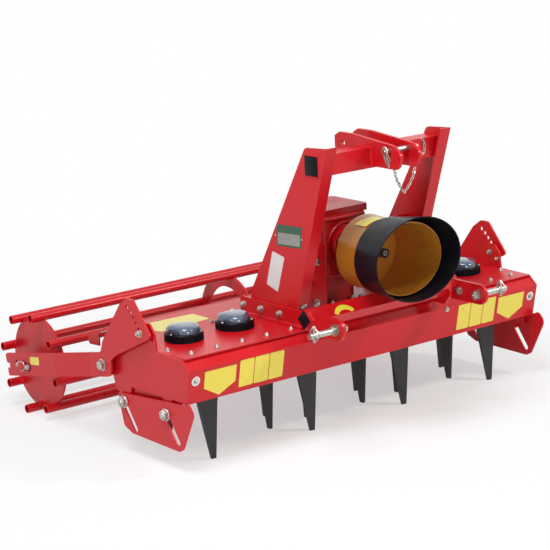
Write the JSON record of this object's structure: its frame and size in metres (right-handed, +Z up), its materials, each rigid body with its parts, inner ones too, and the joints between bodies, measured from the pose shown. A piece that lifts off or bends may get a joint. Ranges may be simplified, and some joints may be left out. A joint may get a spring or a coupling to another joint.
{
  "type": "power harrow",
  "caption": "Tractor-mounted power harrow with a headstock, a closed gear trough, counter-rotating tine rotors, side deflectors and a cage roller on adjustable arms.",
  "frame": {"origin": "on the ground below the middle of the machine's bounding box", "axes": "+X across the machine to the right seen from the tractor's side, -Y towards the tractor, +Z up"},
  "size_m": [1.7, 1.4276, 1.036],
  "materials": {
    "red_paint": "gloss red paint",
    "black_paint": "satin black paint",
    "tine_steel": "satin black paint on forged steel",
    "zinc_steel": "zinc plated",
    "bare_steel": "machined, lightly oiled",
    "black_plastic": "moulded black plastic",
    "amber_plastic": "translucent amber plastic"
  },
  "bodies": {
    "root": {"trough": "red_paint", "lid": "red_paint", "rear_hood": "red_paint", "end_plate_left": "red_paint", "end_plate_right": "red_paint", "bearing_housings": "red_paint", "gearbox": "red_paint", "gearbox_cover": "red_paint", "platform": "red_paint", "mast_left": "red_paint", "mast_right": "red_paint", "mast_struts": "red_paint", "top_tube": "red_paint", "clevis_plates": "red_paint", "top_link_pin": "zinc_steel", "foot_brackets": "red_paint", "hitch_tube": "red_paint", "hitch_pins": "zinc_steel", "shield_bell": "amber_plastic", "shield_ring": "black_plastic", "filler_caps": "black_plastic", "pivot_bolts": "zinc_steel"},
    "rotor_body_1": {"rotor_1": "black_paint", "tines_1": "tine_steel"},
    "rotor_body_2": {"rotor_2": "black_paint", "tines_2": "tine_steel"},
    "rotor_body_3": {"rotor_3": "black_paint", "tines_3": "tine_steel"},
    "rotor_body_4": {"rotor_4": "black_paint", "tines_4": "tine_steel"},
    "rotor_body_5": {"rotor_5": "black_paint", "tines_5": "tine_steel"},
    "rotor_body_6": {"rotor_6": "black_paint", "tines_6": "tine_steel"},
    "rotor_body_7": {"rotor_7": "black_paint", "tines_7": "tine_steel"},
    "input": {"input_shaft": "bare_steel"},
    "arms": {"roller_arm_left": "red_paint", "roller_arm_right": "red_paint", "roller_bearings": "red_paint"},
    "roller": {"roller_tubes": "red_paint", "roller_discs": "red_paint", "roller_ring": "red_paint"},
    "deflector_body_left": {"deflector_left": "red_paint"},
    "deflector_body_right": {"deflector_right": "red_paint"}
  },
  "joints": [
    {"name": "rotor_1_spin", "type": "hinge", "parent": "root", "child": "rotor_body_1", "pos_m": [-0.645, -0.23583, 0.235], "axis": [0, 0, 1], "continuous": true},
    {"name": "rotor_2_spin", "type": "hinge", "parent": "root", "child": "rotor_body_2", "pos_m": [-0.43, -0.23583, 0.235], "axis": [0, 0, 1], "continuous": true},
    {"name": "rotor_3_spin", "type": "hinge", "parent": "root", "child": "rotor_body_3", "pos_m": [-0.215, -0.23583, 0.235], "axis": [0, 0, 1], "continuous": true},
    {"name": "rotor_4_spin", "type": "hinge", "parent": "root", "child": "rotor_body_4", "pos_m": [0, -0.23583, 0.235], "axis": [0, 0, 1], "continuous": true},
    {"name": "rotor_5_spin", "type": "hinge", "parent": "root", "child": "rotor_body_5", "pos_m": [0.215, -0.23583, 0.235], "axis": [0, 0, 1], "continuous": true},
    {"name": "rotor_6_spin", "type": "hinge", "parent": "root", "child": "rotor_body_6", "pos_m": [0.43, -0.23583, 0.235], "axis": [0, 0, 1], "continuous": true},
    {"name": "rotor_7_spin", "type": "hinge", "parent": "root", "child": "rotor_body_7", "pos_m": [0.645, -0.23583, 0.235], "axis": [0, 0, 1], "continuous": true},
    {"name": "input_spin", "type": "hinge", "parent": "root", "child": "input", "pos_m": [0, -0.50383, 0.625], "axis": [0, 1, 0], "continuous": true},
    {"name": "arms_lift", "type": "hinge", "parent": "root", "child": "arms", "pos_m": [0, 0.00617, 0.294], "axis": [1, 0, 0], "range_deg": [0, 21]},
    {"name": "roller_spin", "type": "hinge", "parent": "arms", "child": "roller", "pos_m": [0, 0.52117, 0.19266], "axis": [1, 0, 0], "continuous": true},
    {"name": "deflector_left_slide", "type": "slide", "parent": "root", "child": "deflector_body_left", "axis": [0, 0.6, 0.8], "range_m": [0, 0.07]},
    {"name": "deflector_right_slide", "type": "slide", "parent": "root", "child": "deflector_body_right", "axis": [0, 0.6, 0.8], "range_m": [0, 0.07]}
  ],
  "couplings": [
    {"joint": "rotor_1_spin", "follows": "rotor_4_spin", "ratio": -1},
    {"joint": "rotor_2_spin", "follows": "rotor_4_spin", "ratio": 1},
    {"joint": "rotor_3_spin", "follows": "rotor_4_spin", "ratio": -1},
    {"joint": "rotor_5_spin", "follows": "rotor_4_spin", "ratio": -1},
    {"joint": "rotor_6_spin", "follows": "rotor_4_spin", "ratio": 1},
    {"joint": "rotor_7_spin", "follows": "rotor_4_spin", "ratio": -1},
    {"joint": "input_spin", "follows": "rotor_4_spin", "ratio": 1.8}
  ]
}
